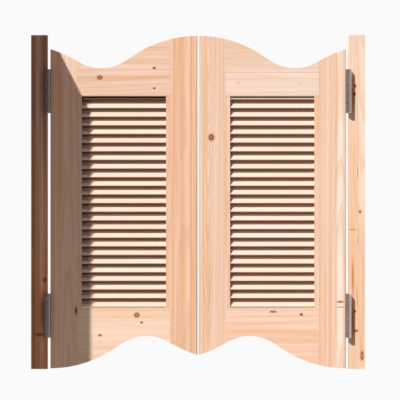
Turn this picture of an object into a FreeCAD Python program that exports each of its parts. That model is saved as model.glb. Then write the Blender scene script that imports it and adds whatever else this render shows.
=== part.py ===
import FreeCAD, Part
import math
import os

import Sketcher

# A pair of louvred cafe doors on double-action spring hinges, between two jamb strips.
# Lengths are in millimetres. X runs along the opening, Y from front to back, Z up.
# The left half is modelled, and the right half is its mirror image in the plane X = 0.

SIZES = [
    # jamb strips
    ("jamb_width", 44),
    ("jamb_thickness", 28),
    ("jamb_height", 900),
    ("jamb_arris_radius", 2),
    ("fixing_inset", 40),
    ("fixing_radius", 2.75),
    ("fixing_sink_radius", 5.5),
    # door outline
    ("door_width", 396),
    ("door_height", 896),
    ("door_lift", 2),
    ("door_thickness", 28),
    ("meeting_gap", 4),
    ("wave_depth", 87),
    ("wave_edge_drop", 36),
    ("wave_valley_offset", 137),
    ("wave_crest_radius", 304),
    ("wave_valley_radius", 118),
    ("wave_hinge_slope", 29),
    ("wave_meeting_angle", 33),
    ("wave_waste", 40),
    # door frame
    ("stile_width", 72.5),
    ("stile_arris_radius", 2),
    ("carrier_width", 12),
    ("opening_bottom", 163),
    ("opening_height", 570),
    ("dowel_radius", 5),
    ("dowel_length", 60),
    ("dowel_inset", 26),
    ("dowel_pitch", 36),
    ("dowel_clearance", 0.05),
    ("dowel_end_room", 0.5),
    # slats
    ("slat_count", 25),
    ("slat_angle", 45),
    ("slat_thickness", 5),
    ("slat_chord", 32.5),
    ("slat_setback", 2.5),
    ("slat_housing", 6),
    ("first_slat", 3.9),
    ("last_slat", 6.9),
    ("slat_clearance", 0.15),
    ("bevel_clearance", 0.3),
    # hinge plates and barrels
    ("lower_hinge_z", 85),
    ("hinge_spacing", 605.5),
    ("hinge_height", 117),
    ("plate_thickness", 1.8),
    ("plate_gap", 1.3),
    ("leaf_tail", 12),
    ("barrel_offset", 25),
    ("barrel_radius", 8),
    ("barrel_wall", 1.8),
    ("knuckle_gap", 0.3),
    ("lower_knuckle", 20),
    ("upper_knuckle", 16),
    # barrel contents
    ("bottom_cap", 4),
    ("top_cap", 3.7),
    ("cap_edge", 1),
    ("cap_socket", 2.5),
    ("collar_height", 8),
    ("bush_reach", 5),
    ("bush_clearance", 0.05),
    ("spindle_radius", 2.5),
    ("spindle_clearance", 0.05),
    ("spigot_radius", 4.35),
    ("spring_radius", 5.8),
    ("spring_wire", 2.5),
    ("spring_end_gap", 0.3),
    ("pin_radius", 1.2),
    ("pin_inner_end", 5.1),
    ("pin_length", 3.9),
    ("pin_clearance", 0.05),
    ("pin_room", 1.5),
    ("key_hole_count", 4),
    ("key_hole_depth", 3),
    ("key_hole_height", 4.8),
    # hinge screws
    ("screw_radius", 1.75),
    ("screw_head_radius", 3.5),
    ("screw_length", 22),
    ("screw_tip", 3),
    ("screw_column", 7),
    ("screw_row", 36),
    ("screw_clearance", 0.05),
    ("screw_end_room", 0.5),
]

# Lengths that follow from the sheet, as expressions.
HINGE_SPACE = "(3 * Sizes.plate_thickness + 2 * Sizes.plate_gap)"
HINGE_EDGE = "(Sizes.meeting_gap / 2 + Sizes.door_width)"
JAMB_FACE = f"({HINGE_EDGE} + {HINGE_SPACE})"
FRONT_AXIS_X = f"({JAMB_FACE} - Sizes.plate_thickness / 2)"
REAR_AXIS_X = f"({HINGE_EDGE} + Sizes.plate_thickness / 2)"
BLANK_BOTTOM = "-Sizes.wave_waste / 2"
BLANK_TOP = "(Sizes.door_height + Sizes.wave_waste / 2)"
RAIL_END = "(Sizes.door_width - Sizes.stile_width)"
RAIL_LENGTH = "(Sizes.door_width - 2 * Sizes.stile_width)"
OPENING_TOP = "(Sizes.opening_bottom + Sizes.opening_height)"
CARRIER_FACE = "(Sizes.stile_width + Sizes.carrier_width)"
SLAT_PITCH = "((Sizes.opening_height - Sizes.first_slat - Sizes.last_slat) / (Sizes.slat_count - 1))"
SLAT_NOSE_Y = "(Sizes.slat_setback + Sizes.slat_thickness / 2 - Sizes.door_thickness / 2)"
SLAT_REACH = "(Sizes.slat_chord - Sizes.slat_thickness)"
SLAT_TURN = "(Sizes.slat_angle * 1 deg)"
BORE = "(Sizes.barrel_radius - Sizes.barrel_wall)"
LOWER_KNUCKLE_TOP = "(Sizes.bottom_cap + Sizes.lower_knuckle)"
COLLAR_BOTTOM = "(Sizes.hinge_height - Sizes.top_cap - Sizes.collar_height)"
COLLAR_TOP = "(Sizes.hinge_height - Sizes.top_cap)"
UPPER_KNUCKLE_BOTTOM = f"({COLLAR_BOTTOM} - Sizes.upper_knuckle)"
LEAF_TUBE_BOTTOM = f"({LOWER_KNUCKLE_TOP} + Sizes.knuckle_gap)"
LEAF_TUBE_TOP = f"({UPPER_KNUCKLE_BOTTOM} - Sizes.knuckle_gap)"
SPIGOT_BOTTOM = f"({LEAF_TUBE_TOP} - Sizes.bush_reach)"
LOWER_BUSH_TOP = f"({LEAF_TUBE_BOTTOM} + Sizes.bush_reach)"
NOTCH_RADIUS = "(Sizes.pin_radius + Sizes.pin_clearance)"
PILOT_DEPTH = "(Sizes.screw_length - Sizes.plate_thickness + Sizes.screw_end_room)"

doc = FreeCAD.newDocument("CafeDoors")
sheet = doc.addObject("Spreadsheet::Sheet", "Sizes")
for row, (alias, number) in enumerate(SIZES, start=1):
    sheet.set(f"A{row}", alias)
    sheet.set(f"B{row}", str(number))
    sheet.setAlias(f"B{row}", alias)
doc.recompute()

sub_parts = []


# ---- helpers -------------------------------------------------------------------------------

def value(formula):
    """The number that an expression on the sheet has now."""
    result = sheet.evalExpression(formula)
    return float(getattr(result, "Value", result))


def new_body(label, x="0", y="0", z="0", turn=0):
    """A body that becomes one sub-part, at x, y, z and turned about the vertical."""
    body = doc.addObject("PartDesign::Body", label)
    body.Label = label
    body.Placement = FreeCAD.Placement(
        FreeCAD.Vector(0, 0, 0), FreeCAD.Rotation(FreeCAD.Vector(0, 0, 1), turn)
    )
    body.setExpression("Placement.Base.x", x)
    body.setExpression("Placement.Base.y", y)
    body.setExpression("Placement.Base.z", z)
    sub_parts.append(body)
    return body


def origin_feature(body, role):
    return next(f for f in body.Origin.OriginFeatures if f.Role == role)


def new_sketch(body, plane, x="0", y="0", z="0", turn=None):
    """A sketch on one of the body's origin planes; z is measured along the plane's normal."""
    sketch = body.newObject("Sketcher::SketchObject", "Sketch")
    sketch.AttachmentSupport = (origin_feature(body, plane), [""])
    sketch.MapMode = "FlatFace"
    sketch.setExpression("AttachmentOffset.Base.x", x)
    sketch.setExpression("AttachmentOffset.Base.y", y)
    sketch.setExpression("AttachmentOffset.Base.z", z)
    if turn:
        sketch.setExpression("AttachmentOffset.Rotation.Angle", turn)
    return sketch


def bind(sketch, constraint, formula, name):
    """Add a dimension whose value follows an expression."""
    index = sketch.addConstraint(constraint)
    sketch.renameConstraint(index, name)
    sketch.setExpression(f"Constraints.{name}", formula)


def locate(sketch, geometry, vertex, x, y, name):
    """Hold a point at x, y from the sketch's origin."""
    distance_x = Sketcher.Constraint("DistanceX", -1, 1, geometry, vertex, value(x))
    distance_y = Sketcher.Constraint("DistanceY", -1, 1, geometry, vertex, value(y))
    bind(sketch, distance_x, x, f"{name}_x")
    bind(sketch, distance_y, y, f"{name}_y")


def draw_polygon(sketch, corners):
    """A closed outline of straight lines through corners, each a pair of expressions."""
    points = [FreeCAD.Vector(value(x), value(y), 0) for x, y in corners]
    count = len(points)
    first = len(sketch.Geometry)
    for i in range(count):
        sketch.addGeometry(Part.LineSegment(points[i], points[(i + 1) % count]))
    for i in range(count):
        following = first + (i + 1) % count
        sketch.addConstraint(Sketcher.Constraint("Coincident", first + i, 2, following, 1))
    for i, (x, y) in enumerate(corners):
        locate(sketch, first + i, 1, x, y, f"corner_{first + i}")


def draw_rectangle(sketch, left, bottom, right, top):
    draw_polygon(sketch, [(left, bottom), (right, bottom), (right, top), (left, top)])


def draw_circle(sketch, x, y, radius):
    centre = FreeCAD.Vector(value(x), value(y), 0)
    index = sketch.addGeometry(Part.Circle(centre, FreeCAD.Vector(0, 0, 1), value(radius)))
    locate(sketch, index, 3, x, y, f"centre_{index}")
    bind(sketch, Sketcher.Constraint("Radius", index, value(radius)), radius, f"radius_{index}")


def draw_slot(sketch, reach, thickness):
    """A round-ended slot whose first end is centred on the sketch's origin."""
    length, radius = value(reach), value(thickness) / 2
    up = FreeCAD.Vector(0, 0, 1)
    near, far = FreeCAD.Vector(0, 0, 0), FreeCAD.Vector(length, 0, 0)
    quarter = math.pi / 2
    sketch.addGeometry([
        Part.LineSegment(FreeCAD.Vector(0, -radius, 0), FreeCAD.Vector(length, -radius, 0)),
        Part.ArcOfCircle(Part.Circle(far, up, radius), -quarter, quarter),
        Part.LineSegment(FreeCAD.Vector(length, radius, 0), FreeCAD.Vector(0, radius, 0)),
        Part.ArcOfCircle(Part.Circle(near, up, radius), quarter, 3 * quarter),
    ])
    sketch.addConstraint([
        Sketcher.Constraint("Tangent", 0, 2, 1, 1),
        Sketcher.Constraint("Tangent", 1, 2, 2, 1),
        Sketcher.Constraint("Tangent", 2, 2, 3, 1),
        Sketcher.Constraint("Tangent", 3, 2, 0, 1),
        Sketcher.Constraint("Horizontal", 0),
        Sketcher.Constraint("Coincident", 3, 3, -1, 1),
        Sketcher.Constraint("Equal", 1, 3),
    ])
    bind(sketch, Sketcher.Constraint("DistanceX", 3, 3, 1, 3, length), reach, "reach")
    bind(sketch, Sketcher.Constraint("Radius", 1, radius), f"{thickness} / 2", "end_radius")


def draw_eased_board(sketch, width, thickness, radius):
    """A board seen from above: square at the sketch's origin, its far edge with rounded arrises."""
    far, half, bend = value(width), value(thickness) / 2, value(radius)
    near_face, far_start = FreeCAD.Vector(0, -half, 0), FreeCAD.Vector(far - bend, -half, 0)
    up = FreeCAD.Vector(0, 0, 1)
    quarter = math.pi / 2
    front = FreeCAD.Vector(far - bend, bend - half, 0)
    back = FreeCAD.Vector(far - bend, half - bend, 0)
    sketch.addGeometry([
        Part.LineSegment(near_face, far_start),
        Part.ArcOfCircle(Part.Circle(front, up, bend), -quarter, 0),
        Part.LineSegment(FreeCAD.Vector(far, bend - half, 0), FreeCAD.Vector(far, half - bend, 0)),
        Part.ArcOfCircle(Part.Circle(back, up, bend), 0, quarter),
        Part.LineSegment(FreeCAD.Vector(far - bend, half, 0), FreeCAD.Vector(0, half, 0)),
        Part.LineSegment(FreeCAD.Vector(0, half, 0), near_face),
    ])
    sketch.addConstraint([
        Sketcher.Constraint("Tangent", 0, 2, 1, 1),
        Sketcher.Constraint("Tangent", 1, 2, 2, 1),
        Sketcher.Constraint("Tangent", 2, 2, 3, 1),
        Sketcher.Constraint("Tangent", 3, 2, 4, 1),
        Sketcher.Constraint("Coincident", 4, 2, 5, 1),
        Sketcher.Constraint("Coincident", 5, 2, 0, 1),
        Sketcher.Constraint("Horizontal", 0),
        Sketcher.Constraint("Vertical", 2),
        Sketcher.Constraint("Horizontal", 4),
        Sketcher.Constraint("Vertical", 5),
        Sketcher.Constraint("Equal", 1, 3),
    ])
    locate(sketch, 0, 1, "0", f"-{thickness} / 2", "front_corner")
    bind(sketch, Sketcher.Constraint("DistanceX", 0, 1, 1, 2, far), width, "width")
    bind(sketch, Sketcher.Constraint("DistanceY", 0, 1, 5, 1, 2 * half), thickness, "thickness")
    bind(sketch, Sketcher.Constraint("Radius", 1, bend), radius, "arris_radius")


def pad(body, sketch, length, symmetric=False):
    feature = body.newObject("PartDesign::Pad", "Pad")
    feature.Profile = sketch
    feature.setExpression("Length", length)
    if symmetric:
        feature.SideType = "Symmetric"
    return feature


def pocket(body, sketch, depth, reverse=False, through=False):
    """A cut against the sketch's normal, or along it when reversed."""
    feature = body.newObject("PartDesign::Pocket", "Pocket")
    feature.Profile = sketch
    feature.Reversed = reverse
    if through:
        feature.SideType = "Symmetric"
    feature.setExpression("Length", depth)
    return feature


def turn_profile(body, sketch, axis):
    """A full turn of a sketch about its own horizontal or vertical axis."""
    feature = body.newObject("PartDesign::Revolution", "Revolution")
    feature.Profile = sketch
    feature.ReferenceAxis = (sketch, [axis])
    feature.Angle = 360
    return feature


def repeat(body, feature, axis, spacing, count="2"):
    """Copies of one feature, or of the whole body when feature is None, along an axis."""
    pattern = body.newObject("PartDesign::LinearPattern", "LinearPattern")
    if feature is None:
        pattern.TransformMode = "Whole shape"
    else:
        pattern.Originals = [feature]
    pattern.Direction = (origin_feature(body, axis), [""])
    pattern.Mode = "Spacing"
    pattern.setExpression("Offset", spacing)
    pattern.setExpression("Occurrences", count)
    body.Tip = pattern


# ---- jamb strip ------------------------------------------------------------------------------

def draw_screw_circles(sketch, radius):
    """The four screw places of one hinge plate, about the plate's middle height."""
    for column in ("-Sizes.screw_column", "Sizes.screw_column"):
        for side in ("-", "+"):
            height = f"Sizes.hinge_height / 2 {side} Sizes.screw_row"
            draw_circle(sketch, column, height, radius)


def drill_pilot_holes(body, face_x, hinge_z, reverse):
    """Pilot holes for the screws of the lower and the upper hinge."""
    sketch = new_sketch(body, "YZ_Plane", y=hinge_z, z=face_x)
    draw_screw_circles(sketch, "(Sizes.screw_radius + Sizes.screw_clearance)")
    repeat(body, pocket(body, sketch, PILOT_DEPTH, reverse), "Z_Axis", "Sizes.hinge_spacing")


def make_jamb_strip():
    """A board with rounded inner arrises, screwed to the wall through three countersunk holes."""
    strip = new_body("left_jamb_strip", x=f"-({JAMB_FACE} + Sizes.jamb_width)")
    sketch = new_sketch(strip, "XY_Plane")
    draw_eased_board(sketch, "Sizes.jamb_width", "Sizes.jamb_thickness", "Sizes.jamb_arris_radius")
    pad(strip, sketch, "Sizes.jamb_height")
    drill_pilot_holes(strip, "Sizes.jamb_width", "Sizes.lower_hinge_z", reverse=False)
    sketch = new_sketch(strip, "YZ_Plane", z="Sizes.jamb_width")
    draw_circle(sketch, "0", "Sizes.fixing_inset", "Sizes.fixing_radius")
    draw_circle(sketch, "0", "Sizes.jamb_height / 2", "Sizes.fixing_radius")
    draw_circle(sketch, "0", "Sizes.jamb_height - Sizes.fixing_inset", "Sizes.fixing_radius")
    doc.recompute()
    hole = strip.newObject("PartDesign::Hole", "Hole")
    hole.Profile = sketch
    hole.DepthType = "ThroughAll"
    hole.setExpression("Diameter", "2 * Sizes.fixing_radius")
    hole.HoleCutType = "Countersink"
    hole.HoleCutCustomValues = True
    hole.setExpression("HoleCutDiameter", "2 * Sizes.fixing_sink_radius")
    hole.HoleCutCountersinkAngle = 90


# ---- door frame ------------------------------------------------------------------------------
# Every piece of the door is drawn in one frame, with its origin at the door's lower hinge corner.

def new_door_body(label):
    return new_body(label, x=f"-{HINGE_EDGE}", z="Sizes.door_lift")


def draw_wave(sketch):
    """The waste above the wavy edge, drawn from the crest level at the hinge side.

    A shoulder arc, a straight slope, the valley arc, a second slope and the crest arc touch one
    another. The door's own edge trims the crest.
    """
    valley, crest = value("Sizes.wave_valley_radius"), value("Sizes.wave_crest_radius")
    depth, margin = value("Sizes.wave_depth"), value("Sizes.wave_waste")
    valley_x, valley_y = value("Sizes.wave_valley_offset"), valley - depth
    shoulder_y = -value("Sizes.wave_edge_drop")
    right_x = value("Sizes.door_width") + margin
    slope = math.radians(value("Sizes.wave_hinge_slope"))
    climb = math.radians(value("Sizes.wave_meeting_angle"))
    up = FreeCAD.Vector(0, 0, 1)
    valley_centre = FreeCAD.Vector(valley_x, valley_y, 0)

    # hinge side: the straight slope touches the valley arc, and the shoulder arc meets the edge
    valley_left = valley_centre - FreeCAD.Vector(math.sin(slope), math.cos(slope), 0) * valley
    drop = (valley_left.y + valley_left.x * math.tan(slope) - shoulder_y) * math.cos(slope)
    run = math.sqrt(2 * crest * drop - drop * drop)
    reach = valley_left.x / math.cos(slope) - run - drop * math.tan(slope)
    shoulder_end = valley_left + FreeCAD.Vector(-math.cos(slope), math.sin(slope), 0) * reach
    shoulder_centre = shoulder_end - FreeCAD.Vector(math.sin(slope), math.cos(slope), 0) * crest

    # meeting side: the straight slope climbs from the valley arc to the crest arc
    lean = FreeCAD.Vector(math.sin(climb), -math.cos(climb), 0)
    valley_right = valley_centre + lean * valley
    length = (depth - (crest + valley) * (1 - math.cos(climb))) / math.sin(climb)
    crest_start = valley_right + FreeCAD.Vector(math.cos(climb), math.sin(climb), 0) * length
    crest_centre = crest_start + lean * crest

    down = 1.5 * math.pi
    shoulder_angle = math.atan2(shoulder_y - shoulder_centre.y, -shoulder_centre.x)
    shoulder = Part.ArcOfCircle(
        Part.Circle(shoulder_centre, up, crest), math.pi / 2 - slope, shoulder_angle
    )
    trough = Part.ArcOfCircle(
        Part.Circle(valley_centre, up, valley), down - slope, down + climb
    )
    trim_angle = math.acos((right_x - crest_centre.x) / crest)
    top = Part.ArcOfCircle(
        Part.Circle(crest_centre, up, crest), trim_angle, math.pi / 2 + climb
    )
    corners = [
        FreeCAD.Vector(right_x, crest_centre.y + crest * math.sin(trim_angle), 0),
        FreeCAD.Vector(right_x, margin, 0),
        FreeCAD.Vector(-margin, margin, 0),
        FreeCAD.Vector(-margin, shoulder_y, 0),
        FreeCAD.Vector(0, shoulder_y, 0),
    ]
    sketch.addGeometry([
        shoulder,
        Part.LineSegment(shoulder_end, valley_left),
        trough,
        Part.LineSegment(valley_right, crest_start),
        top,
    ])
    for start, end in zip(corners, corners[1:]):
        sketch.addGeometry(Part.LineSegment(start, end))
    sketch.addConstraint([
        Sketcher.Constraint("Tangent", 0, 1, 1, 1),
        Sketcher.Constraint("Tangent", 1, 2, 2, 1),
        Sketcher.Constraint("Tangent", 2, 2, 3, 1),
        Sketcher.Constraint("Tangent", 3, 2, 4, 2),
        Sketcher.Constraint("Coincident", 4, 1, 5, 1),
        Sketcher.Constraint("Coincident", 5, 2, 6, 1),
        Sketcher.Constraint("Coincident", 6, 2, 7, 1),
        Sketcher.Constraint("Coincident", 7, 2, 8, 1),
        Sketcher.Constraint("Coincident", 8, 2, 0, 2),
        Sketcher.Constraint("Equal", 0, 4),
        Sketcher.Constraint("Vertical", 5),
        Sketcher.Constraint("Horizontal", 6),
        Sketcher.Constraint("Vertical", 7),
        Sketcher.Constraint("Horizontal", 8),
        Sketcher.Constraint("PointOnObject", 0, 2, -2),
    ])
    dimensions = [
        ("Radius", (4,), crest, "Sizes.wave_crest_radius", "crest_radius"),
        ("Radius", (2,), valley, "Sizes.wave_valley_radius", "valley_radius"),
        ("DistanceY", (-1, 1, 4, 3), -crest, "-Sizes.wave_crest_radius", "crest_level"),
        ("DistanceX", (-1, 1, 2, 3), valley_x, "Sizes.wave_valley_offset", "valley_offset"),
        ("DistanceY", (-1, 1, 2, 3), valley_y, "Sizes.wave_valley_radius - Sizes.wave_depth",
         "valley_level"),
        ("DistanceY", (0, 2, -1, 1), -shoulder_y, "Sizes.wave_edge_drop", "edge_drop"),
        ("Angle", (1,), -slope, "-Sizes.wave_hinge_slope * 1 deg", "hinge_slope"),
        ("Angle", (3,), climb, "Sizes.wave_meeting_angle * 1 deg", "meeting_slope"),
        ("DistanceX", (-1, 1, 4, 1), right_x, "Sizes.door_width + Sizes.wave_waste", "trim_side"),
        ("DistanceY", (-1, 1, 5, 2), margin, "Sizes.wave_waste", "waste_top"),
        ("DistanceX", (7, 2, 0, 2), margin, "Sizes.wave_waste", "waste_side"),
    ]
    for kind, places, number, formula, name in dimensions:
        bind(sketch, Sketcher.Constraint(kind, *places, number), formula, name)


def cut_wave(body, upper):
    """Cut the upper edge, or the lower one, which is the same wave turned half a turn."""
    if upper:
        sketch = new_sketch(body, "XZ_Plane", y="Sizes.door_height")
    else:
        sketch = new_sketch(body, "XZ_Plane", x="Sizes.door_width", turn="180 deg")
    draw_wave(sketch)
    pocket(body, sketch, "2 * Sizes.door_thickness", through=True)


def add_board(body, left, bottom, right, top):
    """A board of the door. Where the wave cuts an end, the board starts as an over-long blank."""
    sketch = new_sketch(body, "XZ_Plane")
    draw_rectangle(sketch, left, bottom, right, top)
    pad(body, sketch, "Sizes.door_thickness", symmetric=True)


def add_stile(body, square_face, turn=None):
    """An over-long blank for a stile, with the arrises of the door's own edge rounded."""
    sketch = new_sketch(body, "XY_Plane", x=square_face, z=BLANK_BOTTOM, turn=turn)
    draw_eased_board(sketch, "Sizes.stile_width", "Sizes.door_thickness", "Sizes.stile_arris_radius")
    pad(body, sketch, f"{BLANK_TOP} - ({BLANK_BOTTOM})")


def dowel_heights(upper):
    """The heights of the two dowels in the upper or the lower rail's joints."""
    if upper:
        start, step = f"{OPENING_TOP} + Sizes.dowel_inset", "+ Sizes.dowel_pitch"
    else:
        start, step = "Sizes.opening_bottom - Sizes.dowel_inset", "- Sizes.dowel_pitch"
    return [start, f"{start} {step}"]


def bore_dowel_holes(body, face_x, heights, reverse):
    sketch = new_sketch(body, "YZ_Plane", z=face_x)
    for height in heights:
        draw_circle(sketch, "0", height, "(Sizes.dowel_radius + Sizes.dowel_clearance)")
    pocket(body, sketch, "Sizes.dowel_length / 2 + Sizes.dowel_end_room", reverse)


def make_stiles():
    """The upright boards: the hinge stile carries the hinges, the meeting stile is the free edge."""
    both_joints = dowel_heights(upper=True) + dowel_heights(upper=False)

    stile = new_door_body("left_hinge_stile")
    add_stile(stile, "Sizes.stile_width", turn="180 deg")
    cut_wave(stile, upper=True)
    cut_wave(stile, upper=False)
    bore_dowel_holes(stile, "Sizes.stile_width", both_joints, reverse=False)
    drill_pilot_holes(stile, "0", "Sizes.lower_hinge_z - Sizes.door_lift", reverse=True)

    stile = new_door_body("left_meeting_stile")
    add_stile(stile, RAIL_END)
    cut_wave(stile, upper=True)
    cut_wave(stile, upper=False)
    bore_dowel_holes(stile, RAIL_END, both_joints, reverse=True)


def make_rails():
    """The level boards between the stiles; the top rail is bevelled behind its lip."""
    rail = new_door_body("left_top_rail")
    add_board(rail, "Sizes.stile_width", OPENING_TOP, RAIL_END, BLANK_TOP)
    cut_wave(rail, upper=True)
    # the bevel lies parallel to the uppermost slat, just clear of its face
    clear = "((Sizes.slat_thickness / 2 + Sizes.bevel_clearance) / cos(Sizes.slat_angle * 1 deg))"
    rise = "tan(Sizes.slat_angle * 1 deg)"
    lip = f"({SLAT_NOSE_Y} + (Sizes.last_slat - {clear}) / {rise})"
    back, below = "Sizes.door_thickness", "-Sizes.bevel_clearance"
    sketch = new_sketch(rail, "YZ_Plane", x=lip, y=OPENING_TOP, z="Sizes.stile_width / 2")
    draw_polygon(sketch, [("0", "0"), (back, f"{back} * {rise}"), (back, below), ("0", below)])
    pocket(rail, sketch, "Sizes.door_width", reverse=True)
    bore_dowel_holes(rail, "Sizes.stile_width", dowel_heights(upper=True), reverse=True)
    bore_dowel_holes(rail, RAIL_END, dowel_heights(upper=True), reverse=False)

    rail = new_door_body("left_bottom_rail")
    add_board(rail, "Sizes.stile_width", BLANK_BOTTOM, RAIL_END, "Sizes.opening_bottom")
    cut_wave(rail, upper=False)
    bore_dowel_holes(rail, "Sizes.stile_width", dowel_heights(upper=False), reverse=True)
    bore_dowel_holes(rail, RAIL_END, dowel_heights(upper=False), reverse=False)


def make_carriers():
    """The strips beside the opening, routed with one sloping blind slot for each slat end."""
    inner_end = f"({RAIL_END} - Sizes.carrier_width)"
    places = [
        ("left_hinge_side_carrier", "Sizes.stile_width", CARRIER_FACE, CARRIER_FACE, False),
        ("left_meeting_side_carrier", inner_end, RAIL_END, inner_end, True),
    ]
    for label, left, right, slot_face, reverse in places:
        carrier = new_door_body(label)
        add_board(carrier, left, "Sizes.opening_bottom", right, OPENING_TOP)
        first_height = "Sizes.opening_bottom + Sizes.first_slat"
        sketch = new_sketch(carrier, "YZ_Plane", SLAT_NOSE_Y, first_height, slot_face, SLAT_TURN)
        draw_slot(sketch, SLAT_REACH, "(Sizes.slat_thickness + 2 * Sizes.slat_clearance)")
        slot = pocket(carrier, sketch, "Sizes.slat_housing + Sizes.slat_clearance", reverse)
        repeat(carrier, slot, "Z_Axis", SLAT_PITCH, "Sizes.slat_count")


def make_slats():
    """The fixed slats: round-edged strips at a slope, front edge low, ends housed in the carriers."""
    slats = new_door_body("left_slats")
    start = f"{CARRIER_FACE} - Sizes.slat_housing"
    first_height = "Sizes.opening_bottom + Sizes.first_slat"
    sketch = new_sketch(slats, "YZ_Plane", SLAT_NOSE_Y, first_height, start, SLAT_TURN)
    draw_slot(sketch, SLAT_REACH, "Sizes.slat_thickness")
    length = f"Sizes.door_width - 2 * {CARRIER_FACE} + 2 * Sizes.slat_housing"
    repeat(slats, pad(slats, sketch, length), "Z_Axis", SLAT_PITCH, "Sizes.slat_count")


def make_dowels():
    """The glued dowels that tie the rails to the stiles."""
    dowels = new_door_body("left_dowels")
    sketch = new_sketch(dowels, "YZ_Plane", z="Sizes.stile_width - Sizes.dowel_length / 2")
    for height in dowel_heights(upper=True) + dowel_heights(upper=False):
        draw_circle(sketch, "0", height, "Sizes.dowel_radius")
    repeat(dowels, pad(dowels, sketch, "Sizes.dowel_length"), "X_Axis", RAIL_LENGTH)


# ---- double-action spring hinges ---------------------------------------------------------------
# Each hinge has a front barrel on the jamb and a rear barrel on the door. What belongs to one
# barrel is drawn about that barrel's axis, and the rear barrel's pieces are turned half a turn.

BARRELS = [
    ("front", "jamb", f"-{FRONT_AXIS_X}", "-Sizes.barrel_offset", 0),
    ("rear", "door", f"-{REAR_AXIS_X}", "Sizes.barrel_offset", 180),
]
HINGES = [
    ("lower", "Sizes.lower_hinge_z"),
    ("upper", "(Sizes.lower_hinge_z + Sizes.hinge_spacing)"),
]


def add_tube(body, centres, bottom, top, outer, inner):
    """Upright tubes from bottom to top, one at each centre."""
    sketch = new_sketch(body, "XY_Plane", z=bottom)
    for x, y in centres:
        draw_circle(sketch, x, y, outer)
        draw_circle(sketch, x, y, inner)
    pad(body, sketch, f"{top} - {bottom}")


def add_plate(body, front, bottom, back, top):
    """A plate as thick as the hinge's steel, across the plane X = 0 of its body."""
    sketch = new_sketch(body, "YZ_Plane")
    draw_rectangle(sketch, front, bottom, back, top)
    pad(body, sketch, "Sizes.plate_thickness", symmetric=True)


def make_leaf(label, x, y, z, turn):
    """A screw plate with the middle length of the barrel on its edge."""
    leaf = new_body(label, x, y, z, turn)
    add_tube(leaf, [("0", "0")], LEAF_TUBE_BOTTOM, LEAF_TUBE_TOP, "Sizes.barrel_radius", BORE)
    neck_start = "Sizes.barrel_radius - Sizes.barrel_wall / 2"
    plate_start = "Sizes.barrel_radius + Sizes.knuckle_gap"
    plate_end = "Sizes.barrel_offset + Sizes.leaf_tail"
    add_plate(leaf, neck_start, LEAF_TUBE_BOTTOM, plate_end, LEAF_TUBE_TOP)
    add_plate(leaf, plate_start, "0", plate_end, "Sizes.hinge_height")
    sketch = new_sketch(leaf, "YZ_Plane", x="Sizes.barrel_offset", z="Sizes.plate_thickness / 2")
    draw_screw_circles(sketch, "Sizes.screw_radius + Sizes.screw_clearance")
    doc.recompute()
    hole = leaf.newObject("PartDesign::Hole", "Hole")
    hole.Profile = sketch
    hole.DepthType = "ThroughAll"
    hole.setExpression("Diameter", "2 * (Sizes.screw_radius + Sizes.screw_clearance)")
    hole.HoleCutType = "Countersink"
    hole.HoleCutCustomValues = True
    hole.setExpression("HoleCutDiameter", "2 * (Sizes.screw_head_radius + Sizes.screw_clearance)")
    hole.HoleCutCountersinkAngle = 90


def make_web(label, z):
    """The plate between the barrels, with two knuckles on each edge."""
    web = new_body(label, x=f"-({HINGE_EDGE} + {HINGE_SPACE} / 2)", z=z)
    half_width = "(Sizes.barrel_offset - Sizes.barrel_radius - Sizes.knuckle_gap)"
    ear = f"(Sizes.barrel_offset - {BORE})"
    axis_x = "(Sizes.plate_thickness + Sizes.plate_gap)"
    front, rear = (f"-{axis_x}", "-Sizes.barrel_offset"), (axis_x, "Sizes.barrel_offset")
    knuckles = [("Sizes.bottom_cap", LOWER_KNUCKLE_TOP), (UPPER_KNUCKLE_BOTTOM, COLLAR_BOTTOM)]
    add_plate(web, f"-{half_width}", "Sizes.bottom_cap", half_width, COLLAR_BOTTOM)
    for bottom, top in knuckles:
        add_plate(web, f"-{ear}", bottom, ear, top)
        add_tube(web, [front, rear], bottom, top, "Sizes.barrel_radius", BORE)
    # notches for the stop pins in the upper rims
    notches = [
        (front[0], "Sizes.barrel_offset", True),
        (rear[0], "-Sizes.barrel_offset", False),
    ]
    for x, offset, outward in notches:
        sketch = new_sketch(web, "XZ_Plane", z=offset)
        draw_circle(sketch, x, COLLAR_BOTTOM, NOTCH_RADIUS)
        pocket(web, sketch, "2 * Sizes.barrel_radius", reverse=outward)


def new_barrel_pair(piece, x, y, turn):
    """A body for the pieces of one barrel line, drawn in the lower hinge."""
    return new_body(f"left_{piece}", x, y, "Sizes.lower_hinge_z", turn)


def add_turned(body, profile):
    """A solid of revolution about the barrel's axis, from pairs of radius and height."""
    sketch = new_sketch(body, "XZ_Plane")
    draw_polygon(sketch, profile)
    turn_profile(body, sketch, "V_Axis")


def add_sleeve(body, inner, outer, bottom, top):
    add_turned(body, [(inner, bottom), (outer, bottom), (outer, top), (inner, top)])


def finish_pair(body):
    """The same pieces again in the upper hinge."""
    repeat(body, None, "Z_Axis", "Sizes.hinge_spacing")


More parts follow.
